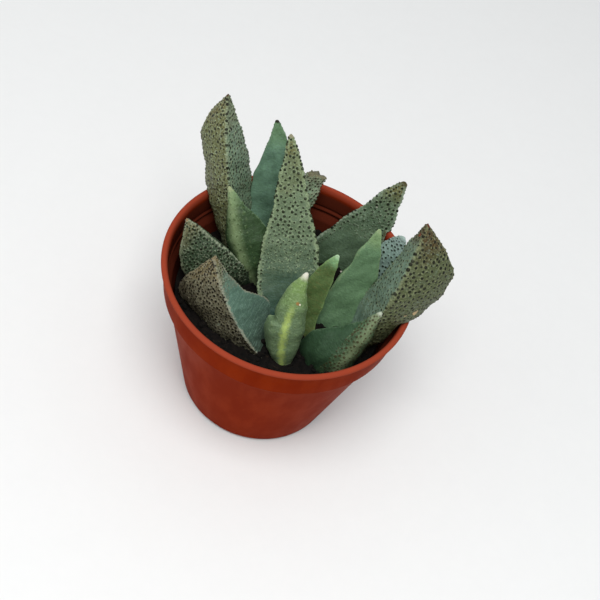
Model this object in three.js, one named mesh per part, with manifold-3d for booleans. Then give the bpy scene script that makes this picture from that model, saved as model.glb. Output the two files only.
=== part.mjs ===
// Potted Aloinopsis orpenii: a clump of thick, keeled, warty leaves in a small round nursery pot.
// Millimetres, +Z up. The origin is the centre of the flat pot base, and the front is -Y.

import * as THREE from 'three';
import { mergeVertices } from 'three/addons/utils/BufferGeometryUtils.js';
import Module from 'manifold-3d';

const wasm = await Module();
wasm.setup();

// Space kept between pieces that touch
const gap = 0.3;

// Pot: thin thermoformed plastic with a rolled lip and a stepped collar
const pot = {
  rimRadius: 27.5,
  height: 42,
  baseRadius: 17.5,
  wall: 0.8,
  plate: 1,
  baseEdge: 0.8,
  lipWidth: 1.4,
  lipDepth: 1.6,
  lipOverhang: 0.9,
  collarHeight: 8.4,
  collarStep: 1.1,
  stepSlope: 0.6,
  sides: 48,
  holeRadius: 2.2,
  holeRing: 10.5,
  holeCount: 4,
  notchWidth: 4,
  notchHeight: 1.2,
  notchDepth: 2.4,
  baseTurn: -20,
};

// Soil: fills the pot to about 11 mm below the rim, with a crumbled top
const soil = {
  top: 30.5,
  crumb: 0.55,
  rings: 7,
  sides: 26,
};

// Rootstock: a thick taproot that ends in one short crown under each head of leaves
const root = {
  tipHeight: 7,
  shoulderHeight: 19,
  shoulderRadius: 7.5,
  crownTop: 27.2,
  sides: 12,
  crowns: [
    { x: -9.5, y: 7.5, radius: 5.2 },
    { x: 4, y: -8.5, radius: 5.6 },
    { x: 14, y: -6, radius: 4.6 },
    { x: 7, y: 11, radius: 4.8 },
  ],
};

// Leaves end in a flat cut just above the crowns
const leafFoot = root.crownTop + gap;

// Each leaf runs from base to tip along the middle of its inner face, which looks toward the
// compass bearing "faces" (0 is +X, 90 is +Y). bow and sway bend the middle outward and sideways.
// right and left are the reach of the inner face to its two margins, and keel is the depth of the
// back under it, each given at the stations from base to tip. warts tells from where along the leaf
// the inner face and the back are covered in tubercles. A young leaf has a rounder back, told by
// its bulge.
const stations = [0, 0.2, 0.35, 0.5, 0.65, 0.8, 0.9, 1];
const leaves = [
  {
    name: 'leaf_young_front',
    base: [7, -14.4, 25.5], tip: [3.6, -6.3, 50], faces: 90, bow: 1, sway: 2,
    right: [2.6, 4.4, 4.8, 4.6, 3.6, 2.6, 1.5, 0.4],
    left: [1.6, 3, 3.8, 3.8, 3.2, 2.3, 1.3, 0.4],
    keel: [3, 3.6, 3.8, 3.7, 3, 2.1, 1.2, 0.4],
    bulge: 0.24, warts: { face: 2, back: 2 }, cell: 1.3, tint: 0x86a558,
  },
  {
    name: 'leaf_young_inner',
    base: [6.2, -10, 25.5], tip: [8.5, 0.9, 50], faces: -100, bow: 0.8, sway: -1.4,
    right: [2.6, 2.9, 3, 3, 2.7, 2.2, 1.4, 0.4],
    left: [2, 2.5, 2.8, 2.9, 2.7, 2.2, 1.4, 0.4],
    keel: [2, 2.3, 2.5, 2.5, 2.2, 1.7, 1, 0.4],
    bulge: 0.2, warts: { face: 2, back: 2 }, cell: 1.6, tint: 0x7a9a55,
  },
  {
    name: 'leaf_short_right',
    base: [13.4, -8.8, 25.5], tip: [20.6, -7.3, 47], faces: 90, bow: 1, sway: 0,
    right: [7, 8.6, 8.6, 6.8, 4.3, 2.1, 1.2, 0.4],
    left: [3, 3.4, 3.4, 3, 2.4, 1.7, 1.1, 0.4],
    keel: [4.8, 5.6, 6, 5.2, 4, 2.6, 1.5, 0.4],
    bulge: 0.18, warts: { face: 2, back: 0.7 }, cell: 1.6, tint: 0x5b8268,
  },
  {
    name: 'leaf_front_right',
    base: [10.6, -6.6, 25.5], tip: [15, 7.9, 54], faces: -90, bow: 0.8, sway: 0,
    right: [4.6, 4.8, 5, 5.6, 5, 3.5, 2.1, 0.4],
    left: [4.4, 4.2, 4.2, 3.3, 2.4, 1.7, 1.1, 0.4],
    keel: [3.5, 4, 4.2, 4, 3.5, 2.4, 1.4, 0.4],
    bulge: 0.16, warts: { face: 2, back: 0.8 }, cell: 1.6, tint: 0x5c8a63,
  },
  {
    name: 'leaf_tall_centre',
    base: [2.6, -11.8, 25.5], tip: [-8.8, 15.8, 64], faces: -85, bow: 1.2, sway: 0,
    right: [6, 8.4, 8.8, 7.8, 5.9, 3.8, 2.4, 0.4],
    left: [1.4, 3.6, 5, 4.7, 3.1, 2.1, 1.3, 0.4],
    keel: [3.4, 4.8, 5.4, 5.2, 4.4, 3, 1.8, 0.4],
    warts: { face: 0.42, back: 0.25 }, cell: 1.4, tint: 0x6a8c6c,
  },
  {
    name: 'leaf_young_left',
    base: [-2.5, 6.8, 25.5], tip: [-17.8, 8.3, 51.2], faces: 82, bow: 0.6, sway: 0,
    right: [5, 6, 6.1, 5.6, 4.4, 2.6, 1.4, 0.4],
    left: [5, 7.2, 8, 7.4, 5.8, 3.1, 1.6, 0.4],
    keel: [4, 5.2, 5.8, 5.8, 5, 3.2, 1.9, 0.4],
    bulge: 0.16, warts: { face: 0.9, back: 0.7 }, cell: 1.6, tint: 0x5d8559,
  },
  {
    name: 'leaf_front_left',
    base: [7, -12.6, 25.5], tip: [-15.3, -8.5, 48], faces: -9, bow: 1, sway: 0,
    right: [5.4, 8, 7.8, 6.3, 2.7, 1.2, 0.8, 0.4],
    left: [2, 4, 5, 4.9, 4.2, 3, 1.8, 0.4],
    keel: [6, 9.6, 11.8, 13.4, 14.4, 14, 9.4, 0.4],
    warts: { face: 0.5, back: 0.15 }, cell: 1.4, tint: 0x6f7c66,
  },
  {
    name: 'leaf_large_right',
    base: [14.5, -6.5, 25.5], tip: [23.3, 4.7, 63.5], faces: 195, bow: -0.2, sway: 1.2,
    right: [3, 4, 5, 6, 5.8, 4, 2.2, 0.4],
    left: [4.4, 5.6, 6, 5.2, 3.7, 3, 2, 0.4],
    keel: [3, 6.4, 9, 10.8, 12, 11.6, 7.4, 0.4],
    warts: { face: 0.5, back: 0.15 }, cell: 1.5, tint: 0x757a58,
  },
  {
    name: 'leaf_side_left',
    base: [-7.6, 8, 25.5], tip: [-23.9, 0.4, 46.2], faces: 50, bow: -0.6, sway: 0,
    right: [4, 4, 3.6, 3.2, 2.6, 1.8, 1.1, 0.4],
    left: [6, 7, 7.2, 6.4, 4.4, 2.2, 1.2, 0.4],
    keel: [4, 6.4, 8.6, 10, 10, 8, 5, 0.4],
    warts: { face: 0.4, back: 0.2 }, cell: 1.4, tint: 0x566b50,
  },
  {
    name: 'leaf_tall_left',
    base: [-10.5, 8, 25.5], tip: [-23.8, 18.9, 66], faces: -10, bow: -1.6, sway: 0,
    right: [3, 4.6, 5.4, 5.8, 4.6, 2.8, 1.6, 0.4],
    left: [3, 4.4, 5, 5.5, 5.8, 4.6, 2.8, 0.4],
    keel: [3.4, 5.4, 7.5, 8.8, 8.3, 8.2, 5.8, 0.4],
    warts: { face: 0.3, back: 0.15 }, cell: 1.5, tint: 0x6f7a58,
  },
  {
    name: 'leaf_back_smooth',
    base: [-6, 10, 25.5], tip: [-12.6, 18.4, 64], faces: -100, bow: 2, sway: 0,
    right: [4.4, 5.4, 5.8, 5.6, 5, 3.7, 2.5, 0.5],
    left: [4, 5, 5.6, 5.7, 4.7, 2.6, 1.4, 0.4],
    keel: [3.6, 4.4, 4.8, 4.6, 3.8, 2.6, 1.5, 0.4],
    bulge: 0.14, warts: { face: 0.9, back: 0.6 }, cell: 1.6, tint: 0x5f8c78,
  },
  {
    name: 'leaf_back_right',
    base: [8.5, 10, 25.5], tip: [17.3, 23.7, 54], faces: -95, bow: 1.5, sway: 0,
    right: [4, 5, 5.2, 5, 4.2, 2.7, 1.7, 0.5],
    left: [8.4, 9.2, 8.4, 6.8, 5, 3.3, 2.4, 0.6],
    keel: [4, 4.8, 5.2, 5.2, 4.6, 3.2, 2, 0.5],
    warts: { face: 0.35, back: 0.2 }, cell: 1.4, tint: 0x55694d,
  },
  {
    name: 'leaf_small_right',
    base: [14, 5, 25.5], tip: [20.6, 13.6, 48], faces: -120, bow: 1.5, sway: 0,
    right: [2.8, 3.4, 3.7, 3.9, 3.9, 3.4, 2.5, 0.8],
    left: [2.8, 3.4, 3.7, 3.9, 3.9, 3.4, 2.6, 0.8],
    keel: [2.8, 3.4, 3.7, 3.8, 3.6, 2.8, 2, 0.8],
    warts: { face: 0.35, back: 0.3 }, cell: 1.25, tint: 0x62766a,
  },
  {
    name: 'leaf_back_centre',
    base: [-3, 13, 25.5], tip: [-1.4, 22.4, 48.4], faces: -66, bow: 0.6, sway: 0,
    right: [1.6, 1.6, 1.7, 1.9, 2.1, 2.3, 2.5, 2.6],
    left: [1.6, 1.6, 1.7, 1.9, 2.1, 2.3, 2.5, 2.6],
    keel: [1.6, 1.8, 2, 2.2, 2.4, 2.6, 2.7, 2.4],
    warts: { face: 0.4, back: 0.2 }, cell: 1.15, tint: 0x6d6b52,
  },
];

// Forms that all leaves share. A sharp corner needs more growth for the same room beside it.
const tipRadius = 0.35;
const tubercleHeight = 0.32;
const tubercleFade = { before: 0.04, after: 0.1, towardTip: 0.7 };
const backBulge = 0.1;
const hollowAtBase = -0.1;
const domeAtTip = 0.08;
const smoothRow = 2.2;
const cornerGrowth = 1.7;
const holeCell = 3.8;
const holeGap = 2 * gap;

function mix(a, b, t) {
  return a + (b - a) * t;
}

function ramp(from, to, t) {
  const x = Math.min(1, Math.max(0, (t - from) / (to - from)));
  return x * x * (3 - 2 * x);
}

// Smooth line through a leaf's values at the stations
function reach(values, t) {
  const slope = (n) => {
    const before = Math.max(0, n - 1);
    const after = Math.min(stations.length - 1, n + 1);
    return (values[after] - values[before]) / (stations[after] - stations[before]);
  };
  let n = stations.length - 2;
  while (n > 0 && t < stations[n]) {
    n -= 1;
  }
  const span = stations[n + 1] - stations[n];
  const q = (t - stations[n]) / span;
  const fromStart = (1 + 2 * q) * (1 - q) ** 2 * values[n] + q * (1 - q) ** 2 * span * slope(n);
  const fromEnd = q * q * (3 - 2 * q) * values[n + 1] - q * q * (1 - q) * span * slope(n + 1);
  return fromStart + fromEnd;
}

function leafCurve(leaf) {
  const base = new THREE.Vector3(...leaf.base);
  const tip = new THREE.Vector3(...leaf.tip);
  const along = tip.clone().sub(base).normalize();
  const angle = THREE.MathUtils.degToRad(leaf.faces);
  const inward = new THREE.Vector3(Math.cos(angle), Math.sin(angle), 0);
  const normal = inward.clone().addScaledVector(along, -inward.dot(along)).normalize();
  const side = along.clone().cross(normal);
  const middle = base.clone().lerp(tip, 0.5);
  middle.addScaledVector(normal, -2 * leaf.bow).addScaledVector(side, 2 * leaf.sway);
  return { curve: new THREE.QuadraticBezierCurve3(base, middle, tip), inward };
}

// Points of one cross-section, from the right margin over the back to the left margin, then over
// the inner face back again. dx and dy point straight out of the leaf there.
function leafSection(leaf, t, faceCells, backCells) {
  const margin = { 1: reach(leaf.right, t), [-1]: reach(leaf.left, t) };
  const k = reach(leaf.keel, t);
  const dome = (margin[1] + margin[-1]) / 2 * mix(hollowAtBase, domeAtTip, ramp(0.2, 0.8, t));
  const points = [];
  for (let j = 0; j < 2 * backCells; j += 1) {
    const side = j < backCells ? 1 : -1;
    const w = margin[side];
    const slant = Math.hypot(w, k);
    const q = j < backCells ? j / backCells : 2 - j / backCells;
    const bulge = 4 * (leaf.bulge ?? backBulge) * q * (1 - q);
    points.push({
      across: side * (w * (1 - q) + bulge * k),
      out: -k * q - bulge * w,
      dx: q === 1 ? 0 : side * (q === 0 ? 1 : k / slant),
      dy: q === 1 ? -1 : (q === 0 ? 0 : -w / slant),
      corner: q === 0 || q === 1,
      back: q > 0,
    });
  }
  for (let j = 0; j < faceCells; j += 1) {
    const a = -1 + (2 * j) / faceCells;
    points.push({
      across: a * margin[a < 0 ? -1 : 1],
      out: dome * (1 - a * a),
      dx: j === 0 ? -1 : 0,
      dy: j === 0 ? 0 : 1,
      corner: j === 0,
      back: false,
    });
  }
  return points;
}

function leafRows(leaf, length, cell) {
  const rows = [];
  const firstWart = Math.min(leaf.warts.face, leaf.warts.back);
  let t = 0;
  while (t < 1 - cell / length) {
    rows.push(t);
    t += (t < firstWart ? Math.max(smoothRow, cell) : cell) / length;
  }
  rows.push(1);
  return rows;
}

// Closed leaf mesh, with every second vertex of its net raised as a tubercle.
// "grow" thickens it all round, for the room that it takes in its neighbours.
function leafGeometry(leaf, grow, cell = leaf.cell) {
  const { curve, inward } = leafCurve(leaf);
  const length = curve.getLength();
  const width = (Math.max(...leaf.right) + Math.max(...leaf.left)) / 2;
  const faceCells = 2 * Math.max(2, Math.round(width / cell));
  const backCells = Math.max(3, Math.round(Math.hypot(width, Math.max(...leaf.keel)) / cell));
  const columns = faceCells + 2 * backCells;
  const rows = leafRows(leaf, length, cell);
  const positions = [];
  const triangles = [];
  const tangent = new THREE.Vector3();
  const normal = new THREE.Vector3();
  const side = new THREE.Vector3();
  const point = new THREE.Vector3();
  rows.forEach((t, i) => {
    curve.getTangent(t, tangent);
    normal.copy(inward).addScaledVector(tangent, -inward.dot(tangent)).normalize();
    side.crossVectors(tangent, normal);
    const section = leafSection(leaf, t, faceCells, backCells);
    section.forEach((spot, j) => {
      const from = spot.back ? leaf.warts.back : leaf.warts.face;
      const start = ramp(from - tubercleFade.before, from + tubercleFade.after, t);
      const end = 1 - tubercleFade.towardTip * ramp(tubercleFade.towardTip, 1, t);
      const raised = (i + j) % 2 === 0 ? tubercleHeight * start * end : 0;
      const lift = raised + grow * (spot.corner ? cornerGrowth : 1);
      curve.getPoint(t, point);
      point.addScaledVector(side, spot.across + lift * spot.dx);
      point.addScaledVector(normal, spot.out + lift * spot.dy);
      positions.push(point.x, point.y, point.z);
    });
  });
  for (let i = 0; i + 1 < rows.length; i += 1) {
    for (let j = 0; j < columns; j += 1) {
      const a = i * columns + j;
      const b = i * columns + ((j + 1) % columns);
      const c = b + columns;
      const d = a + columns;
      if ((i + j) % 2 === 0) {
        triangles.push(a, b, d, b, c, d);
      } else {
        triangles.push(a, c, d, a, b, c);
      }
    }
  }
  const foot = positions.length / 3;
  curve.getPoint(0, point);
  curve.getTangent(0, tangent);
  point.addScaledVector(tangent, -grow);
  positions.push(point.x, point.y, point.z);
  curve.getPoint(1, point);
  curve.getTangent(1, tangent);
  point.addScaledVector(tangent, tipRadius + grow);
  positions.push(point.x, point.y, point.z);
  const last = (rows.length - 1) * columns;
  for (let j = 0; j < columns; j += 1) {
    const next = (j + 1) % columns;
    triangles.push(foot, next, j);
    triangles.push(foot + 1, last + j, last + next);
  }
  const geometry = new THREE.BufferGeometry();
  geometry.setAttribute('position', new THREE.Float32BufferAttribute(positions, 3));
  geometry.setIndex(triangles);
  return geometry;
}

function toSolid(geometry) {
  const bare = geometry.clone();
  bare.deleteAttribute('normal');
  bare.deleteAttribute('uv');
  const merged = mergeVertices(bare, 1e-4);
  return new wasm.Manifold(new wasm.Mesh({
    numProp: 3,
    vertProperties: new Float32Array(merged.attributes.position.array),
    triVerts: new Uint32Array(merged.index.array),
  }));
}

function toMesh(name, solid, colour, roughness) {
  const { vertProperties, triVerts } = solid.getMesh();
  const geometry = new THREE.BufferGeometry();
  geometry.setAttribute('position', new THREE.Float32BufferAttribute(vertProperties, 3));
  geometry.setIndex(Array.from(triVerts));
  geometry.computeVertexNormals();
  const material = new THREE.MeshStandardMaterial({ color: colour, roughness, metalness: 0 });
  material.name = name;
  const mesh = new THREE.Mesh(geometry, material);
  mesh.name = name;
  return mesh;
}

// The largest body of a cut, without loose scraps
function largestBody(solid) {
  return solid.decompose().sort((a, b) => b.volume() - a.volume())[0];
}

function upright(geometry) {
  return geometry.rotateX(Math.PI / 2);
}

// Pot wall radius on the outside, under the collar
const shelf = pot.height - pot.collarHeight;
const bodyTop = pot.rimRadius - pot.lipWidth - pot.collarStep;
function wallRadius(z) {
  return mix(pot.baseRadius, bodyTop, z / shelf);
}

function potSolid() {
  const collarOut = pot.rimRadius - pot.lipOverhang;
  const collarFoot = bodyTop + pot.collarStep;
  const lipFoot = pot.height - pot.lipDepth;
  const profile = [
    [0, 0],
    [pot.baseRadius - pot.baseEdge, 0],
    [pot.baseRadius, pot.baseEdge],
    [bodyTop, shelf - pot.stepSlope],
    [collarFoot, shelf],
    [collarOut, lipFoot],
    [pot.rimRadius, pot.height - 0.9],
    [pot.rimRadius - 0.3, pot.height - 0.2],
    [pot.rimRadius - 0.7, pot.height],
    [pot.rimRadius - 1.1, pot.height - 0.2],
    [pot.rimRadius - pot.lipWidth, pot.height - 0.8],
    [collarOut - pot.wall, lipFoot],
    [collarFoot - pot.wall + 0.1, shelf + 1],
    [bodyTop - pot.wall + 0.2, shelf - 0.2],
    [bodyTop - pot.wall, shelf - 1],
    [wallRadius(pot.plate) - pot.wall, pot.plate + 0.6],
    [wallRadius(pot.plate) - pot.wall - 0.6, pot.plate],
    [0, pot.plate],
  ];
  const points = profile.map(([r, z]) => new THREE.Vector2(r, z));
  let body = toSolid(upright(new THREE.LatheGeometry(points, pot.sides)));
  for (let n = 0; n < pot.holeCount; n += 1) {
    const angle = ((n + 0.5) / pot.holeCount) * 2 * Math.PI + THREE.MathUtils.degToRad(pot.baseTurn);
    const hole = upright(new THREE.CylinderGeometry(pot.holeRadius, pot.holeRadius, 4, 16));
    hole.translate(pot.holeRing * Math.cos(angle), pot.holeRing * Math.sin(angle), 0);
    body = body.subtract(toSolid(hole));
    const notch = new THREE.BoxGeometry(2 * pot.notchDepth, pot.notchWidth, 2 * pot.notchHeight);
    notch.translate(pot.baseRadius, 0, 0);
    notch.rotateZ(angle + Math.PI / 4);
    body = body.subtract(toSolid(notch));
  }
  return body;
}

// Crumbled soil surface: a sum of waves that never lines up, higher toward the middle
function soilHeight(x, y) {
  const waves = Math.sin(0.9 * x + 1.3 * y) + Math.sin(1.7 * x - 0.8 * y + 2) + Math.sin(2.3 * y + 0.6 * x + 4);
  const mound = 0.8 * (1 - Math.hypot(x, y) / pot.rimRadius);
  return soil.top + mound + soil.crumb * waves / 2;
}

function soilSolid() {
  const positions = [];
  const triangles = [];
  const rim = wallRadius(soil.top) - pot.wall - gap;
  const foot = wallRadius(pot.plate) - pot.wall - gap - 0.6;
  const floor = pot.plate + gap;
  positions.push(0, 0, soilHeight(0, 0));
  for (let ring = 1; ring <= soil.rings; ring += 1) {
    const r = rim * ring / soil.rings;
    for (let n = 0; n < soil.sides; n += 1) {
      const angle = (n + 0.5 * (ring % 2)) * 2 * Math.PI / soil.sides;
      const x = r * Math.cos(angle);
      const y = r * Math.sin(angle);
      positions.push(x, y, ring === soil.rings ? soil.top : soilHeight(x, y));
    }
  }
  const edge = 1 + (soil.rings - 1) * soil.sides;
  const low = positions.length / 3;
  for (let n = 0; n < soil.sides; n += 1) {
    const x = positions[3 * (edge + n)] * foot / rim;
    const y = positions[3 * (edge + n) + 1] * foot / rim;
    positions.push(x, y, floor);
  }
  positions.push(0, 0, floor);
  const under = positions.length / 3 - 1;
  for (let n = 0; n < soil.sides; n += 1) {
    const next = (n + 1) % soil.sides;
    triangles.push(0, 1 + n, 1 + next);
    triangles.push(edge + n, low + n, low + next, edge + n, low + next, edge + next);
    triangles.push(under, low + next, low + n);
    for (let ring = 0; ring + 1 < soil.rings; ring += 1) {
      const a = 1 + ring * soil.sides + n;
      const b = 1 + ring * soil.sides + next;
      const c = a + soil.sides;
      const d = b + soil.sides;
      if (ring % 2 === 0) {
        triangles.push(a, c, b, b, c, d);
      } else {
        triangles.push(a, c, d, a, d, b);
      }
    }
  }
  const geometry = new THREE.BufferGeometry();
  geometry.setAttribute('position', new THREE.Float32BufferAttribute(positions, 3));
  geometry.setIndex(triangles);
  return toSolid(geometry);
}

function rootSolid(grow) {
  const profile = [
    [0, root.tipHeight - grow],
    [1 + grow, root.tipHeight + 1],
    [0.6 * root.shoulderRadius + grow, mix(root.tipHeight, root.shoulderHeight, 0.5)],
    [root.shoulderRadius + grow, root.shoulderHeight],
    [0.8 * root.shoulderRadius + grow, root.shoulderHeight + 4],
    [0, root.shoulderHeight + 6 + grow],
  ];
  const points = profile.map(([r, z]) => new THREE.Vector2(r, z));
  let body = toSolid(upright(new THREE.LatheGeometry(points, root.sides)));
  for (const crown of root.crowns) {
    const foot = new THREE.Vector3(0.25 * crown.x, 0.25 * crown.y, root.shoulderHeight - 1);
    const slope = 1 + grow / (root.crownTop - foot.z);
    const head = new THREE.Vector3(crown.x, crown.y, root.crownTop).sub(foot).multiplyScalar(slope).add(foot);
    const height = head.z - foot.z;
    const stem = new THREE.CylinderGeometry(crown.radius + grow, 0.6 * crown.radius + grow, height, root.sides);
    upright(stem);
    const shear = new THREE.Matrix4().set(
      1, 0, (head.x - foot.x) / height, (head.x + foot.x) / 2,
      0, 1, (head.y - foot.y) / height, (head.y + foot.y) / 2,
      0, 0, 1, (head.z + foot.z) / 2,
      0, 0, 0, 1,
    );
    stem.applyMatrix4(shear);
    body = body.add(toSolid(stem));
  }
  return body;
}

// Everything under the foot height is cut away from a leaf
function footBlock(top) {
  const block = new THREE.BoxGeometry(100, 100, 20);
  block.translate(0, 0, top - 10);
  return toSolid(block);
}

// Room that the pot wall and lip take away from a leaf that leans on them
function mouthRing() {
  const inside = bodyTop - pot.wall - gap;
  const profile = [
    [wallRadius(leafFoot) - pot.wall - gap, leafFoot - 2],
    [2 * pot.rimRadius, leafFoot - 2],
    [2 * pot.rimRadius, pot.height + gap],
    [pot.rimRadius - pot.lipWidth - gap, pot.height + gap],
    [pot.rimRadius - pot.lipWidth - pot.wall, pot.height - pot.lipDepth],
    [inside, shelf],
  ];
  const points = profile.map(([r, z]) => new THREE.Vector2(r, z));
  points.push(points[0]);
  return toSolid(upright(new THREE.LatheGeometry(points, pot.sides)));
}

const plant = new THREE.Group();
const mouth = mouthRing();
const grownLeaves = [];
const leafSolids = [];
for (const leaf of leaves) {
  let body = toSolid(leafGeometry(leaf, 0)).subtract(footBlock(leafFoot)).subtract(mouth);
  for (const other of grownLeaves) {
    body = body.subtract(other);
  }
  leafSolids.push(largestBody(body));
  grownLeaves.push(toSolid(leafGeometry(leaf, gap)).subtract(footBlock(leafFoot - gap)));
}

let bed = soilSolid().subtract(rootSolid(gap));
for (const leaf of leaves) {
  bed = bed.subtract(toSolid(leafGeometry(leaf, holeGap, holeCell)).subtract(footBlock(leafFoot - gap)));
}

plant.add(toMesh('pot', potSolid(), 0x8e4430, 0.45));
plant.add(toMesh('soil', largestBody(bed), 0x1d1612, 0.95));
plant.add(toMesh('rootstock', rootSolid(0), 0x7a6a50, 0.9));
leaves.forEach((leaf, n) => {
  plant.add(toMesh(leaf.name, leafSolids[n], leaf.tint, 0.65));
});

export default plant;
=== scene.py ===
import itertools
import math

import bmesh
import bpy
import numpy as np
from mathutils import Matrix, Vector, kdtree, noise


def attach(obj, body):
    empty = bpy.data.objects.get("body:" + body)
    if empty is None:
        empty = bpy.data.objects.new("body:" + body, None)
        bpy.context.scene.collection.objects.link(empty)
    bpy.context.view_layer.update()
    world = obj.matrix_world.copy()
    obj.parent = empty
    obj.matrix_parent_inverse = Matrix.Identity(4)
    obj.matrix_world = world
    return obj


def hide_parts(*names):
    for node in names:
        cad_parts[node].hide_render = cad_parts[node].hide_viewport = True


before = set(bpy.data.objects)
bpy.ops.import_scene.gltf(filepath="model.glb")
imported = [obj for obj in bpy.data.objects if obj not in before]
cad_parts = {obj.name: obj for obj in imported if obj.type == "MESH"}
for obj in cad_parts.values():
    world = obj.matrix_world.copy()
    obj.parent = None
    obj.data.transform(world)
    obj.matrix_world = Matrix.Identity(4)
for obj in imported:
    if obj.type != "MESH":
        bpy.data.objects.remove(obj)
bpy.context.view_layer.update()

# Potted Aloinopsis orpenii. Sizes are in millimetres until a mesh is made, then in metres.
scene = bpy.context.scene
millimetre = 0.001
perMetre = 1000


def srgb(red, green, blue):
    # a screen colour, 0 to 255, turned into linear light
    parts = [part / 255 for part in (red, green, blue)]
    linear = [part / 12.92 if part <= 0.04045 else ((part + 0.055) / 1.055) ** 2.4 for part in parts]
    return (*linear, 1.0)


def mix(low, high, t):
    return low + (high - low) * t


def ramp(start, end, t):
    x = np.clip((t - start) / (end - start), 0, 1)
    return x * x * (3 - 2 * x)


def newPiece(name, points, faces):
    mesh = bpy.data.meshes.new(name)
    mesh.from_pydata((np.asarray(points) * millimetre).tolist(), [], faces)
    mesh.update()
    mesh.shade_smooth()
    piece = bpy.data.objects.new(name, mesh)
    scene.collection.objects.link(piece)
    return piece


def setField(piece, name, values):
    # a value or a vector for every vertex, which the leaf skin reads by its name
    values = np.asarray(values, np.float32)
    if values.ndim == 1:
        piece.data.attributes.new(name, "FLOAT", "POINT").data.foreach_set("value", values)
    else:
        piece.data.attributes.new(name, "FLOAT_VECTOR", "POINT").data.foreach_set("vector", values.ravel())


def place(piece, material, slotName, *cadNodes):
    piece.data.materials.clear()
    piece.data.materials.append(material)
    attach(piece, "root")
    if cadNodes:
        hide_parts(*cadNodes)


def drop(piece):
    mesh = piece.data
    bpy.data.objects.remove(piece)
    bpy.data.meshes.remove(mesh)


# Small helpers that add one shader node and give back its output

def feed(tree, node, values):
    for key, value in values.items():
        if isinstance(value, bpy.types.NodeSocket):
            tree.links.new(value, node.inputs[key])
        else:
            node.inputs[key].default_value = value


def newNode(tree, kind, inputs, **settings):
    node = tree.nodes.new(kind)
    for key, value in settings.items():
        setattr(node, key, value)
    feed(tree, node, inputs)
    return node


def field(tree, name, output="Fac"):
    return newNode(tree, "ShaderNodeAttribute", {}, attribute_name=name).outputs[output]


def calculate(tree, operation, first, second):
    return newNode(tree, "ShaderNodeMath", {0: first, 1: second}, operation=operation).outputs[0]


def plus(tree, first, second):
    return calculate(tree, "ADD", first, second)


def minus(tree, first, second):
    return calculate(tree, "SUBTRACT", first, second)


def times(tree, first, second):
    return calculate(tree, "MULTIPLY", first, second)


def step(tree, value, start, end, low=0.0, high=1.0):
    # a smooth step from low to high; with start above end it falls instead of rising
    inputs = {"Value": value, "From Min": start, "From Max": end, "To Min": low, "To Max": high}
    return newNode(tree, "ShaderNodeMapRange", inputs, interpolation_type="SMOOTHSTEP").outputs["Result"]


def tint(tree, amount, below, above, kind="MIX"):
    inputs = {0: amount, 6: below, 7: above}
    return newNode(tree, "ShaderNodeMix", inputs, data_type="RGBA", blend_type=kind).outputs[2]


def grey(tree, value):
    # one value as a colour, to darken or lighten another by
    return newNode(tree, "ShaderNodeCombineColor", {0: value, 1: value, 2: value}).outputs[0]


def stretched(tree, vector, stretch):
    return newNode(tree, "ShaderNodeVectorMath", {0: vector, 1: stretch}, operation="MULTIPLY").outputs[0]


def millimetres(tree, stretch=(1.0, 1.0, 1.0)):
    coordinates = newNode(tree, "ShaderNodeTexCoord", {})
    return stretched(tree, coordinates.outputs["Object"], [perMetre * part for part in stretch])


def cloud(tree, vector, scale, detail=2.0, roughness=0.5):
    inputs = {"Vector": vector, "Scale": scale, "Detail": detail, "Roughness": roughness}
    return newNode(tree, "ShaderNodeTexNoise", inputs).outputs[0]


def newGroup(name, inputs, outputs):
    group = bpy.data.node_groups.new(name, "ShaderNodeTree")
    for socketName, kind, value in inputs:
        socket = group.interface.new_socket(socketName, in_out="INPUT", socket_type=kind)
        socket.default_value = value
    for socketName, kind in outputs:
        group.interface.new_socket(socketName, in_out="OUTPUT", socket_type=kind)
    return group, newNode(group, "NodeGroupInput", {}).outputs, newNode(group, "NodeGroupOutput", {})


def newMaterial(name, roughness, specular):
    material = bpy.data.materials.new(name)
    material.use_nodes = True
    tree = material.node_tree
    shader = tree.nodes["Principled BSDF"]
    feed(tree, shader, {"Roughness": roughness, "Specular IOR Level": specular})
    return material, tree, shader


def addBump(tree, shader, height, strength, distance):
    inputs = {"Strength": strength, "Distance": distance * millimetre, "Height": height}
    feed(tree, shader, {"Normal": newNode(tree, "ShaderNodeBump", inputs).outputs["Normal"]})


# Specks and grain for pot, soil, root and floor
grainGroup, grainIn, grainEnd = newGroup(
    "fineGrain",
    [("Scale", "NodeSocketFloat", 1.0), ("Contrast", "NodeSocketFloat", 0.3)],
    [("Shade", "NodeSocketColor"), ("Height", "NodeSocketFloat")],
)
broadGrain = cloud(grainGroup, millimetres(grainGroup), 0.12, 3.0, 0.6)
smallGrain = cloud(grainGroup, millimetres(grainGroup), grainIn["Scale"], 4.0, 0.65)
grainLight = plus(grainGroup, times(grainGroup, broadGrain, 0.5), times(grainGroup, smallGrain, 0.5))
grainShift = times(grainGroup, minus(grainGroup, grainLight, 0.5), grainIn["Contrast"])
grainValue = plus(grainGroup, times(grainGroup, grainShift, 4.0), 1.0)
feed(grainGroup, grainEnd, {"Shade": grey(grainGroup, grainValue), "Height": smallGrain})


def addGrain(tree, scale, contrast):
    inputs = {"Scale": scale, "Contrast": contrast}
    return newNode(tree, "ShaderNodeGroup", inputs, node_tree=grainGroup).outputs


def grainyColour(tree, shader, colour, grain):
    feed(tree, shader, {"Base Color": tint(tree, 1.0, colour, grain["Shade"], "MULTIPLY")})


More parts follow.
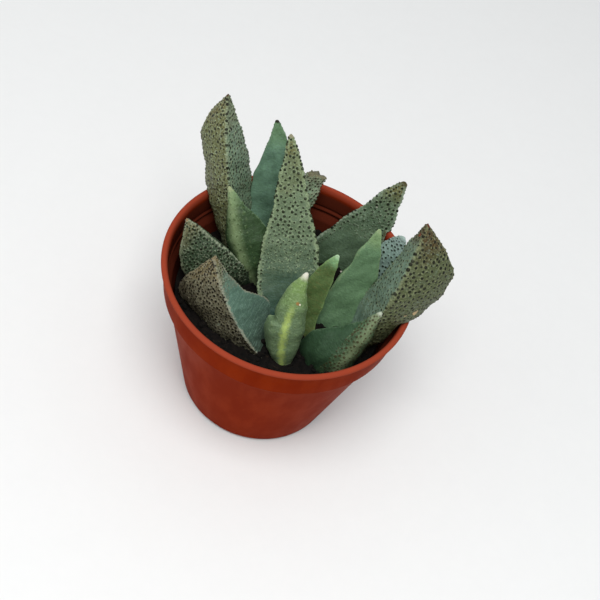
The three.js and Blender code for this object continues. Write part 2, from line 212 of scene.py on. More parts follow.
print("pot")
pot = {
    "rimRadius": 27.5, "height": 42.0, "baseRadius": 17.5, "wall": 0.8,
    "plate": 1.0, "plateEdge": 0.6, "baseEdge": 0.8, "sides": 200, "sharpAngle": 50,
    "lipWidth": 1.4, "lipDepth": 1.6, "lipOverhang": 0.9,
    "collarHeight": 8.4, "collarStep": 1.1, "stepSlope": 0.6,
    "ribs": [(0, 36.6), (0, 36.3), (0.5, 36.0), (0.5, 35.6), (0.1, 35.3), (0.1, 34.9)], "ribRounding": 0.2,
    "holeRadius": 2.2, "holeRing": 10.5, "holeCount": 4, "holeSides": 40, "cutDepth": 4,
    "notchWidth": 4.0, "notchHeight": 1.2, "notchDepth": 2.4, "baseTurn": -20,
    # the lip colour on this line is a painted highlight, faded in over the lip heights given below
    "colour": srgb(132, 40, 5), "shade": srgb(122, 33, 4), "lipHighlight": srgb(154, 68, 48),
    # of the next two colours the dust is real and the inner-wall colour is painted shade
    "dust": srgb(150, 60, 28), "inside": srgb(80, 34, 22),
    "shine": 0.02, "shineTint": srgb(236, 140, 104), "refraction": 1.25, "roughest": 0.46, "smoothest": 0.36,
    "lipHighlightFade": (40.2, 41.4), "insideFade": (41.0, 39.6), "wallLean": 0.223,
}
rim, foot, top, wall = pot["rimRadius"], pot["baseRadius"], pot["height"], pot["wall"]
shelf = top - pot["collarHeight"]
bodyTop = rim - pot["lipWidth"] - pot["collarStep"]


def wallRadius(z):
    return mix(foot, bodyTop, z / shelf)


def roundedProfile(corners, steps=5):
    # each corner is (radius, height, rounding): a short curve takes its place
    line = []
    for index, (r, z, rounding) in enumerate(corners):
        here = np.array([r, z], float)
        if rounding == 0:
            line.append(here)
            continue
        ends = []
        for other in (corners[index - 1], corners[(index + 1) % len(corners)]):
            way = np.array(other[:2], float) - here
            size = np.linalg.norm(way)
            ends.append(here + way / size * min(rounding, 0.48 * size))
        for n in range(steps):
            t = n / (steps - 1)
            line.append((1 - t) ** 2 * ends[0] + 2 * t * (1 - t) * here + t * t * ends[1])
    return line


def lathe(name, line, sides):
    points, faces, rings = [], [], []
    for r, z in line:
        if r < 1e-6:
            rings.append([len(points)] * sides)
            points.append((0, 0, z))
        else:
            rings.append(list(range(len(points), len(points) + sides)))
            angle = np.arange(sides) * 2 * math.pi / sides
            points.extend(zip(r * np.cos(angle), r * np.sin(angle), np.full(sides, z)))
    for low, high in zip(rings[:-1], rings[1:]):
        for n in range(sides):
            m = (n + 1) % sides
            face = [low[n], low[m], high[m], high[n]]
            face = [v for k, v in enumerate(face) if v != face[k - 1]]
            if len(face) > 2:
                faces.append(face)
    return newPiece(name, points, faces)


collarOut = rim - pot["lipOverhang"]
collarFoot = bodyTop + pot["collarStep"]
lipFoot = top - pot["lipDepth"]
stepFoot = shelf - pot["stepSlope"]
inner = collarOut - wall
plateTop = pot["plate"] + pot["plateEdge"]
plateRadius = wallRadius(pot["plate"]) - wall

# Up the outside, over the lip, down the inside and over the base plate
potLine = roundedProfile([
    (0, 0, 0),
    (foot - pot["baseEdge"], 0, 0.3),
    (foot, pot["baseEdge"], 0.5),
    (mix(foot, bodyTop, 0.33), mix(pot["baseEdge"], stepFoot, 0.33), 0),
    (mix(foot, bodyTop, 0.66), mix(pot["baseEdge"], stepFoot, 0.66), 0),
    (bodyTop, stepFoot, 0.5),
    (collarFoot, shelf, 0.45),
    (mix(collarFoot, collarOut, 0.5), mix(shelf, lipFoot, 0.5), 0),
    (collarOut, lipFoot, 0.35),
    (rim, top - 0.95, 0.5),
    (rim - 0.05, top - 0.35, 0.35),
    (rim - 0.7, top, 0.5),
    (rim - 1.25, top - 0.3, 0.4),
    (rim - pot["lipWidth"] - 0.15, top - 1.3, 0.5),
    (inner - 0.15, 38.2, 0),
    (inner - 0.22, 36.9, pot["ribRounding"]),
    *[(inner - depth, z, pot["ribRounding"]) for depth, z in pot["ribs"]],
    (collarFoot - wall - 0.1, shelf + 0.9, 0.4),
    (bodyTop - wall + 0.1, shelf - 0.2, 0.4),
    (bodyTop - wall, shelf - 1.0, 0),
    (mix(bodyTop, wallRadius(1), 0.5) - wall, mix(shelf - 1, plateTop, 0.5), 0),
    (plateRadius, plateTop, 0.3),
    (plateRadius - pot["plateEdge"], pot["plate"], 0.3),
    (0, pot["plate"], 0),
])
potShell = lathe("potShell", potLine, pot["sides"])


def cutAway(piece, form):
    # takes the form's mesh out of the piece
    mesh = bpy.data.meshes.new("cutter")
    form.to_mesh(mesh)
    form.free()
    cutter = bpy.data.objects.new("cutter", mesh)
    scene.collection.objects.link(cutter)
    cut = piece.modifiers.new("cut", "BOOLEAN")
    cut.operation = "DIFFERENCE"
    cut.solver = "EXACT"
    cut.object = cutter
    cutMesh = bpy.data.meshes.new_from_object(piece.evaluated_get(bpy.context.evaluated_depsgraph_get()))
    piece.modifiers.clear()
    oldMesh = piece.data
    piece.data = cutMesh
    bpy.data.meshes.remove(oldMesh)
    drop(cutter)


# Drain holes in the base plate and notches in the foot
holeRadius = pot["holeRadius"] * millimetre
notchSize = [size * millimetre for size in (2 * pot["notchDepth"], pot["notchWidth"], 2 * pot["notchHeight"])]
for n in range(pot["holeCount"]):
    angle = (n + 0.5) / pot["holeCount"] * 2 * math.pi + math.radians(pot["baseTurn"])
    holeSpot = (pot["holeRing"] * math.cos(angle) * millimetre, pot["holeRing"] * math.sin(angle) * millimetre, 0)
    notchTurn = Matrix.Rotation(angle + math.pi / 4, 4, "Z")
    notchSpot = Matrix.Translation((foot * millimetre, 0, 0))
    form = bmesh.new()
    bmesh.ops.create_cone(
        form, cap_ends=True, segments=pot["holeSides"], radius1=holeRadius, radius2=holeRadius,
        depth=pot["cutDepth"] * millimetre, matrix=Matrix.Translation(holeSpot))
    bmesh.ops.create_cube(form, size=1, matrix=notchTurn @ notchSpot @ Matrix.Diagonal((*notchSize, 1)))
    cutAway(potShell, form)
potShell.data.name = "potShell"
potShell.data.shade_smooth()
potShell.data.set_sharp_from_angle(angle=math.radians(pot["sharpAngle"]))

potPaint, tree, shader = newMaterial("potPlastic", pot["roughest"], pot["shine"])
grain = addGrain(tree, 1.4, 0.05)
height = newNode(tree, "ShaderNodeSeparateXYZ", {0: millimetres(tree)}).outputs[2]
flatSpot = {0: millimetres(tree, (1.0, 1.0, 0.0))}
fromAxis = newNode(tree, "ShaderNodeVectorMath", flatSpot, operation="LENGTH").outputs["Value"]
worn = cloud(tree, millimetres(tree, (1.0, 1.0, 0.35)), 0.25, 4.0, 0.6)
scratches = cloud(tree, millimetres(tree, (0.6, 0.6, 6.0)), 0.8, 3.0, 0.6)
specks = newNode(tree, "ShaderNodeTexVoronoi", {"Vector": millimetres(tree), "Scale": 0.28}).outputs["Distance"]

# The inside of the wall gets painted shade: it lies nearer the axis than the middle of the wall at its height
wallHere = plus(tree, times(tree, height, pot["wallLean"]), foot - 0.4)
wallHere = plus(tree, wallHere, step(tree, height, shelf - 0.1, shelf + 0.2, 0.0, 1.4))
wallHere = calculate(tree, "MINIMUM", wallHere, rim - 1.55)
inside = step(tree, minus(tree, wallHere, fromAxis), -0.2, 0.0)
inside = times(tree, inside, step(tree, height, *pot["insideFade"]))

colour = tint(tree, step(tree, worn, 0.35, 0.7), pot["shade"], pot["colour"])
# painted highlight: the lip is lighter towards its top, where it catches the light
colour = tint(tree, step(tree, height, *pot["lipHighlightFade"], 0.0, 0.75), colour, pot["lipHighlight"])
colour = tint(tree, step(tree, scratches, 0.62, 0.74, 0.0, 0.12), colour, pot["dust"])
colour = tint(tree, step(tree, specks, 0.07, 0.03, 0.0, 0.5), colour, pot["dust"])
# painted shade darkens the inside of the wall below the lip
colour = tint(tree, times(tree, inside, 0.95), colour, pot["inside"])
grainyColour(tree, shader, colour, grain)
feed(tree, shader, {
    "Roughness": step(tree, worn, 0.3, 0.75, pot["roughest"], pot["smoothest"]),
    "IOR": pot["refraction"], "Specular Tint": pot["shineTint"],
})
addBump(tree, shader, grain["Height"], 0.12, 0.05)
place(potShell, potPaint, "pot_plastic", "pot")


print("soil")
soil = {
    "top": 30.5, "crumb": 0.55, "mound": 0.8, "rough": 0.5, "rings": 90, "sides": 260,
    "wallGap": 0.2, "floorGap": 0.3, "footGap": 0.9, "crumbGap": 1.2,
    "crumbs": 620, "crumbSizes": (0.22, 0.85), "perlite": 7, "perliteSizes": (0.3, 0.6), "seed": 11,
    # dark and light are the peat's own dark colour, darkened further by painted shade
    "dark": srgb(7, 6, 5), "light": srgb(26, 20, 15), "fibre": srgb(58, 44, 30), "perliteColour": srgb(206, 200, 186),
}


def soilHeight(x, y):
    waves = np.sin(0.9 * x + 1.3 * y) + np.sin(1.7 * x - 0.8 * y + 2) + np.sin(2.3 * y + 0.6 * x + 4)
    mound = soil["mound"] * (1 - np.hypot(x, y) / rim)
    return soil["top"] + mound + soil["crumb"] * waves / 2


def lumpy(x, y):
    spot = Vector((x * 0.55, y * 0.55, 3.1))
    return soil["rough"] * (noise.fractal(spot, 0.9, 2.1, 4) + 0.6 * noise.noise(spot * 3.3))


def onSoil(r, angle):
    x, y = r * math.cos(angle), r * math.sin(angle)
    return x, y, float(soilHeight(x, y)) + lumpy(x, y)


# The crumbled top as rings of triangles round the middle, then the side and the flat foot
soilRim = wallRadius(soil["top"]) - wall - soil["wallGap"]
sides = soil["sides"]
points = [(0, 0, float(soilHeight(0, 0)))]
faces = []
for ring in range(1, soil["rings"] + 1):
    for n in range(sides):
        points.append(onSoil(soilRim * ring / soil["rings"], 2 * math.pi * (n + 0.5 * (ring % 2)) / sides))
for n in range(sides):
    m = (n + 1) % sides
    faces.append((0, 1 + n, 1 + m))
    for ring in range(soil["rings"] - 1):
        low = 1 + ring * sides
        high = low + sides
        if ring % 2 == 0:
            faces += [(low + n, high + n, low + m), (low + m, high + n, high + m)]
        else:
            faces += [(low + n, high + n, high + m), (low + n, high + m, low + m)]
edge = 1 + (soil["rings"] - 1) * sides
floorHeight = pot["plate"] + soil["floorGap"]
footRadius = plateRadius - soil["footGap"]
under = len(points)
for n in range(sides):
    angle = math.atan2(points[edge + n][1], points[edge + n][0])
    points.append((footRadius * math.cos(angle), footRadius * math.sin(angle), floorHeight))
points.append((0, 0, floorHeight))
for n in range(sides):
    m = (n + 1) % sides
    faces += [(edge + n, under + n, under + m, edge + m), (len(points) - 1, under + m, under + n)]
soilBed = newPiece("soilBed", points, faces)


def lumps(name, spots, seed):
    # small rough grains, each a squashed ball with its own dents
    draw = np.random.default_rng(seed)
    form = bmesh.new()
    bmesh.ops.create_icosphere(form, subdivisions=2, radius=1.0)
    ball = np.array([v.co for v in form.verts])
    ballFaces = np.array([[v.index for v in f.verts] for f in form.faces])
    form.free()
    points, faces = [], []
    for index, (x, y, z, radius) in enumerate(spots):
        turn = np.linalg.qr(draw.normal(size=(3, 3)))[0]
        squash = draw.uniform(0.65, 1.1, 3)
        dents = 1 + 0.16 * np.sin(ball @ draw.normal(size=3) * 2.4 + draw.uniform(0, 6))
        dents = dents + draw.normal(0, 0.05, len(ball))
        faces.append(ballFaces + index * len(ball))
        points.append((ball * dents[:, None] * squash) @ turn * radius + (x, y, z))
    return newPiece(name, np.concatenate(points), np.concatenate(faces).tolist())


draw = np.random.default_rng(soil["seed"])
crumbSpots = []
for n in range(soil["crumbs"]):
    r = (soilRim - soil["crumbGap"]) * math.sqrt(draw.uniform(0.02, 1))
    angle = draw.uniform(0, 2 * math.pi)
    radius = mix(*soil["crumbSizes"], draw.uniform(0, 1) ** 2.2)
    x, y, z = onSoil(r, angle)
    crumbSpots.append((x, y, z + 0.25 * radius, radius))
soilCrumbs = lumps("soilCrumbs", crumbSpots, soil["seed"])
perliteSpots = [(-3.6, -0.6, 31.6, 0.55)]  # the one grain that is seen between the leaves
for n in range(soil["perlite"]):
    angle = draw.uniform(0, 2 * math.pi)
    x, y, z = onSoil(soilRim * math.sqrt(draw.uniform(0.15, 0.85)), angle)
    perliteSpots.append((x, y, z + 0.1, draw.uniform(*soil["perliteSizes"])))
perliteGrains = lumps("perliteGrains", perliteSpots, soil["seed"] + 1)

soilPaint, tree, shader = newMaterial("pottingSoil", 0.95, 0.2)
grain = addGrain(tree, 2.2, 0.4)
clods = cloud(tree, millimetres(tree), 0.9, 5.0, 0.7)
fibres = cloud(tree, millimetres(tree, (0.4, 3.0, 1.0)), 1.1, 2.0, 0.5)
# the clod colours hold painted shade as well as the peat's own dark
colour = tint(tree, step(tree, clods, 0.35, 0.75), soil["dark"], soil["light"])
colour = tint(tree, step(tree, fibres, 0.66, 0.74, 0.0, 0.6), colour, soil["fibre"])
grainyColour(tree, shader, colour, grain)
addBump(tree, shader, grain["Height"], 0.9, 0.3)
place(soilBed, soilPaint, "potting_soil", "soil")
place(soilCrumbs, soilPaint, "potting_soil")

perlitePaint, tree, shader = newMaterial("perlite", 0.9, 0.3)
grain = addGrain(tree, 5.0, 0.25)
grainyColour(tree, shader, soil["perliteColour"], grain)
addBump(tree, shader, grain["Height"], 0.8, 0.15)
place(perliteGrains, perlitePaint, "potting_soil")

print("rootstock")
rootLook = {"bark": srgb(120, 98, 68), "cracks": srgb(62, 46, 30)}
rootPaint, tree, shader = newMaterial("rootSkin", 0.85, 0.25)
rings = cloud(tree, millimetres(tree, (0.5, 0.5, 2.6)), 0.8, 4.0, 0.6)
colour = tint(tree, step(tree, rings, 0.4, 0.62), rootLook["cracks"], rootLook["bark"])
grainyColour(tree, shader, colour, addGrain(tree, 1.8, 0.3))
addBump(tree, shader, rings, 0.7, 0.4)
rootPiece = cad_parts["rootstock"]
rootPiece.data.materials.clear()
rootPiece.data.materials.append(rootPaint)


# The skin of every leaf: plain colour by place, broken pale net, dark tubercles, fine streaks.
# Fields on the mesh tell where a point lies; gaps are in millimetres.
skinColours = ["Face", "Back", "Base", "Tip", "Point", "Edge", "Keel", "Dot", "Net", "Streak"]
skinValues = {
    # what a leaf leaves out has the value given here
    "Base Reach": 0.3, "Tip From": 0.8, "Point From": 0.96, "Edge Width": 0.7, "Edge Strength": 0.4,
    "Keel Width": 1.5, "Keel Strength": 0.0, "Keel Until": 3.0, "Net Strength": 0.15, "Dot Strength": 1.0,
    "Halo Highlight Strength": 0.6, "Fleck Strength": 0.5, "Streak Strength": 0.3, "Mottle": 0.7,
}
g, skinIn, skinEnd = newGroup(
    "leafSkin",
    [(name + " Colour", "NodeSocketColor", (0.2, 0.3, 0.2, 1.0)) for name in skinColours]
    + [(name, "NodeSocketFloat", value) for name, value in skinValues.items()],
    [("Colour", "NodeSocketColor"), ("Roughness", "NodeSocketFloat"), ("Height", "NodeSocketFloat")],
)
broad = cloud(g, millimetres(g), 0.16, 2.0, 0.5)
fine = cloud(g, millimetres(g), 1.3, 4.0, 0.65)
dust = cloud(g, millimetres(g), 5.0, 2.0, 0.6)
streaks = cloud(g, stretched(g, field(g, "skin", "Vector"), (0.4, 2.8, 1.0)), 1.0, 4.0, 0.65)
flecks = cloud(g, millimetres(g), 2.5, 1.5, 0.5)
along = field(g, "along")
wart = field(g, "wart")
wobble = minus(g, fine, 0.5)


def wobbly(place, amount):
    # a ragged line instead of a ruled one
    return plus(g, place, times(g, wobble, amount))


# Face and back, foot and tip; the foot colour is the leaf's own tint on some leaves and dark painted shade near the
# soil on others
shifted = plus(g, along, times(g, minus(g, broad, 0.5), 0.3))
skin = tint(g, field(g, "inner"), skinIn["Back Colour"], skinIn["Face Colour"])
skin = tint(g, step(g, shifted, skinIn["Base Reach"], 0.0), skin, skinIn["Base Colour"])
skin = tint(g, step(g, shifted, skinIn["Tip From"], 1.0), skin, skinIn["Tip Colour"])

# Keel line and margins
keelAmount = times(g, step(g, wobbly(field(g, "keelGap"), 1.8), skinIn["Keel Width"], 0.0), skinIn["Keel Strength"])
keelAmount = times(g, keelAmount, step(g, minus(g, shifted, skinIn["Keel Until"]), 0.0, -0.18))
skin = tint(g, keelAmount, skin, skinIn["Keel Colour"])
edgeAmount = times(g, step(g, wobbly(field(g, "edgeGap"), 3.0), skinIn["Edge Width"], 0.0), skinIn["Edge Strength"])
skin = tint(g, edgeAmount, skin, skinIn["Edge Colour"])

# Streaks on the plain parts, the net between the tubercles, and a painted highlight as a halo round each of them
plain = step(g, wart, 2.0, 4.0)
streakAmount = times(g, step(g, streaks, 0.48, 0.7), skinIn["Streak Strength"])
streakAmount = times(g, streakAmount, plus(g, times(g, plain, 0.7), 0.3))
skin = tint(g, streakAmount, skin, skinIn["Streak Colour"])
netAmount = times(g, step(g, wobbly(field(g, "net"), 1.6), 0.5, 0.0), skinIn["Net Strength"])
skin = tint(g, netAmount, skin, skinIn["Net Colour"])
paintedHalo = times(g, step(g, wart, 2.1, 1.3), step(g, flecks, 0.4, 0.62))
skin = tint(g, times(g, paintedHalo, skinIn["Halo Highlight Strength"]), skin, skinIn["Net Colour"])

# Pale flecks as painted glints and dark flecks as painted shade in small hollows, then a fine mottle over all of it
fleckAmount = times(g, skinIn["Fleck Strength"], minus(g, 1.3, times(g, plain, 0.9)))
glintColour = tint(g, plain, skinIn["Edge Colour"], skinIn["Streak Colour"])
skin = tint(g, times(g, step(g, flecks, 0.54, 0.68), fleckAmount), skin, glintColour)
hollow = times(g, step(g, flecks, 0.46, 0.32), fleckAmount)
skin = tint(g, times(g, hollow, 0.6), skin, skinIn["Dot Colour"])
shade = plus(g, times(g, wobble, 1.2), times(g, minus(g, dust, 0.5), 0.8))
mottled = plus(g, 1.0, times(g, shade, skinIn["Mottle"]))
skin = tint(g, 1.0, skin, grey(g, mottled), "MULTIPLY")

# Dark tubercles and the very tip
dotMask = step(g, wobbly(wart, 0.7), 1.22, 0.9)
dotAmount = times(g, times(g, dotMask, field(g, "tone")), skinIn["Dot Strength"])
skin = tint(g, dotAmount, skin, skinIn["Dot Colour"])
skin = tint(g, step(g, wobbly(along, 0.03), skinIn["Point From"], 0.995), skin, skinIn["Point Colour"])
rough = minus(g, plus(g, 0.5, times(g, wobble, 0.4)), times(g, dotMask, 0.12))
relief = plus(g, times(g, flecks, plus(g, 0.3, skinIn["Fleck Strength"])), times(g, streaks, 0.4))
relief = plus(g, relief, times(g, dust, 0.25))
feed(g, skinEnd, {"Colour": skin, "Roughness": rough, "Height": relief})

# What all leaves of a kind share, and the soft light inside the flesh (the last one in millimetres)
kindLooks = {"leaf_warty": {}, "leaf_smooth": {"Halo Highlight Strength": 0.2, "Net Strength": 0.0}}
flesh = {"roughness": 0.5, "shine": 0.2, "glow": 0.06, "glowTint": (0.7, 1.0, 0.35), "glowDepth": 0.6}


def leafMaterial(name, leaf):
    material, tree, shader = newMaterial(name, flesh["roughness"], flesh["shine"])
    look = {key: leaf[key] for key in skinValues if key in leaf}
    for key in skinColours:
        if key in leaf:
            look[key + " Colour"] = srgb(*leaf[key])
    skinNode = newNode(tree, "ShaderNodeGroup", look, node_tree=g)
    colour = skinNode.outputs["Colour"]
    for spot, radius, markColour in leaf["marks"]:
        # a scar or speck of its own, at a place in millimetres
        ends = {0: millimetres(tree), 1: spot}
        gap = newNode(tree, "ShaderNodeVectorMath", ends, operation="DISTANCE").outputs["Value"]
        gap = plus(tree, gap, times(tree, cloud(tree, millimetres(tree), 1.8), 0.9 * radius))
        markAmount = step(tree, gap, 1.45 * radius, 1.15 * radius, 0.0, 0.85)
        colour = tint(tree, markAmount, colour, srgb(*markColour))
    feed(tree, shader, {
        "Base Color": colour, "Roughness": skinNode.outputs["Roughness"], "Subsurface Weight": flesh["glow"],
        "Subsurface Radius": flesh["glowTint"], "Subsurface Scale": flesh["glowDepth"] * millimetre,
    })
    addBump(tree, shader, skinNode.outputs["Height"], 0.7, 0.25)
    return material


# What a leaf leaves out has the values of these two
shared = {
    "stations": np.array([0, 0.2, 0.35, 0.5, 0.65, 0.8, 0.9, 1]), "sway": 0,
    "bulge": 0.1, "hollowAtBase": -0.1, "domeAtTip": 0.08, "rounding": 0.4, "waves": 0.1,
    "tipReach": 0.28, "foot": 27.5, "marks": [],
}
sharedWarts = {
    "fade": 0.12, "nearEdge": 0, "edgeFrom": 0.14, "nearKeel": 99, "keelUntil": 0.86, "atEdge": 1.15,
    "paleAtEdge": 0.5, "smallOnFace": 1.0, "candidates": 9000, "fewest": 50,
}
ripples = [  # strength, direction and shift of each slow wave in a leaf's skin
    (1.0, (0.55, 0.35, 0.5), 1.0), (1.0, (-0.3, 0.7, 0.9), 2.1),
    (0.6, (1.3, -1.1, 0.8), 0.7), (0.4, (-1.9, 1.6, 1.4), 1.0),
]
wallRoom = {"from": 25.0, "atWall": 1.1, "underLip": 2.2, "atLip": 1.7, "overLip": 0.3}  # kept free of leaves


def reachLine(values, t):
    # smooth line through a leaf's values at the stations
    stations = shared["stations"]
    values = np.array(values, float)
    slope = np.diff(values) / np.diff(stations)
    slope = np.hstack([slope[:1], (values[2:] - values[:-2]) / (stations[2:] - stations[:-2]), slope[-1:]])
    n = np.clip(np.searchsorted(stations, t, "right") - 1, 0, len(stations) - 2)
    span = stations[n + 1] - stations[n]
    q = (t - stations[n]) / span
    fromStart = (1 + 2 * q) * (1 - q) ** 2 * values[n] + q * (1 - q) ** 2 * span * slope[n]
    fromEnd = q * q * (3 - 2 * q) * values[n + 1] - q * q * (1 - q) * span * slope[n + 1]
    return fromStart + fromEnd


def leafAxis(leaf, t):
    # the bent middle line, and at each of its points the way to the face and to the side
    base, tip = np.array(leaf["base"], float), np.array(leaf["tip"], float)
    along = (tip - base) / np.linalg.norm(tip - base)
    bearing = math.radians(leaf["faces"])
    inward = np.array([math.cos(bearing), math.sin(bearing), 0])
    out = inward - along * inward.dot(along)
    out /= np.linalg.norm(out)
    middle = (base + tip) / 2 - 2 * leaf["bow"] * out + 2 * leaf["sway"] * np.cross(along, out)
    t = t[:, None]
    centre = (1 - t) ** 2 * base + 2 * t * (1 - t) * middle + t * t * tip
    tangent = 2 * (1 - t) * (middle - base) + 2 * t * (tip - middle)
    tangent /= np.linalg.norm(tangent, axis=1, keepdims=True)
    normal = inward - tangent * (tangent @ inward)[:, None]
    normal /= np.linalg.norm(normal, axis=1, keepdims=True)
    return centre, normal, np.cross(tangent, normal)


def softened(values, reach):
    # rounds the corners of every cross-section: a weighted mean along the columns
    total = np.zeros_like(values)
    weight = 0
    for shift in range(-3 * reach, 3 * reach + 1):
        w = math.exp(-0.5 * (shift / reach) ** 2)
        total += w * np.roll(values, shift, axis=1)
        weight += w
    return total / weight


def outward(points):
    across = np.roll(points, -1, axis=1) - np.roll(points, 1, axis=1)
    up = np.gradient(points, axis=0)
    normals = np.cross(across, up)
    normals /= np.maximum(np.linalg.norm(normals, axis=2, keepdims=True), 1e-9)
    away = points - points.mean(axis=1, keepdims=True)
    return normals * np.sign((normals * away).sum(axis=(1, 2)))[:, None, None]


def keepInPot(points):
    # a leaf that leans on the wall or lip lies against it
    r = np.hypot(points[..., 0], points[..., 1])
    z = points[..., 2]
    start, end = wallRoom["from"], top + wallRoom["overLip"]
    room = np.interp(z, [start, shelf, lipFoot, end], [
        wallRadius(start) - wallRoom["atWall"], bodyTop - wallRoom["atWall"],
        rim - wallRoom["underLip"], rim - wallRoom["atLip"]])
    room = np.where(z > end, 1e3, room)
    scale = np.minimum(1, room / np.maximum(r, 1e-6))
    kept = points.copy()
    kept[..., 0] *= scale
    kept[..., 1] *= scale
    return kept


def scatter(points, spacing, first, draw):
    # picks points that lie their own spacing apart: those marked first, then the rest in a random order
    size = float(spacing.max())
    cells, kept = {}, []
    order = draw.permutation(len(points))
    order = np.hstack([order[first[order]], order[~first[order]][:sharedWarts["candidates"]]])
    for index in order:
        p = points[index]
        key = tuple(np.floor(p / size).astype(int))
        around = itertools.product(*((k - 1, k, k + 1) for k in key))
        near = [k for cellKey in around for k in cells.get(cellKey, ())]
        if near and ((points[near] - p) ** 2).sum(axis=1).min() < spacing[index] ** 2:
            continue
        cells.setdefault(key, []).append(index)
        kept.append(index)
    return np.array(kept, int)


def growWarts(leaf, points, normals, grid, innerField, edgeGap, keelGap):
    # tubercles: scattered centres, each with its own size and darkness, and bigger along the margins
    warts = {**sharedWarts, **leaf["warts"]}
    starts = np.where(innerField > 0.5, warts["face"], warts["back"])
    smooth = (innerField < 0.5) & (keelGap > warts["nearKeel"]) & (grid < warts["keelUntil"])
    starts = np.where(smooth, 2, starts)
    starts = np.where(edgeGap < warts["nearEdge"], np.minimum(starts, warts["edgeFrom"]), starts)
    inZone = np.clip((grid - starts) / warts["fade"], 0, 1)
    wart, net, tone = np.full(grid.size, 5.0), np.ones(grid.size), np.ones(grid.size)
    chosen = np.flatnonzero((inZone > 0).ravel() & (grid.ravel() < 0.99))
    if len(chosen) > warts["fewest"]:
        draw = np.random.default_rng(leaf["seed"])
        flat = points.reshape(-1, 3)
        zone, gap = inZone.ravel()[chosen], edgeGap.ravel()[chosen]
        finer = mix(1.0, 0.8, ramp(0.85, 1.0, grid.ravel()[chosen]))
        margin = gap < 0.5 * leaf["cell"]
        spacing = warts["spacing"] * draw.uniform(0.85, 1.15, len(zone)) * mix(0.75, 1.0, zone)
        spacing = spacing * mix(0.82, 1.0, np.clip(gap / 2, 0, 1)) * finer
        picked = scatter(flat[chosen], spacing, margin, draw)
        centres, zone, onEdge = flat[chosen][picked], zone[picked], margin[picked]
        onFace = innerField.ravel()[chosen][picked] > 0.6
        sizes = warts["radius"] * draw.uniform(0.68, 1.3, len(centres)) * mix(0.55, 1.0, zone) * finer[picked]
        sizes = sizes * np.where(onEdge, warts["atEdge"], 1.0) * np.where(onFace, warts["smallOnFace"], 1.0)
        tones = draw.uniform(0.86, 1.0, len(centres)) * mix(0.4, 1.0, zone)
        tones = np.where(onEdge & (draw.uniform(0, 1, len(centres)) < warts["paleAtEdge"]), 0.12, tones)
        tree = kdtree.KDTree(len(centres))
        for n, spot in enumerate(centres):
            tree.insert(spot, n)
        tree.balance()
        for index in np.flatnonzero((grid > starts - 0.06).ravel()):
            (_, first, d1), (_, _, d2) = tree.find_n(flat[index], 2)
            wart[index] = min(5.0, d1 / sizes[first])
            net[index] = min(1.0, d2 - d1 + max(0.0, d1 - 1.2) * 2)
            tone[index] = tones[first]
    wart, net, tone = (values.reshape(grid.shape) for values in (wart, net, tone))
    lift = warts["height"] * (1 - ramp(0.4, 1.6, wart)) * mix(0.7, 1.0, tone) * np.where(edgeGap < 0.6, 1.5, 1.0)
    return points + normals * lift[..., None], wart, net, tone


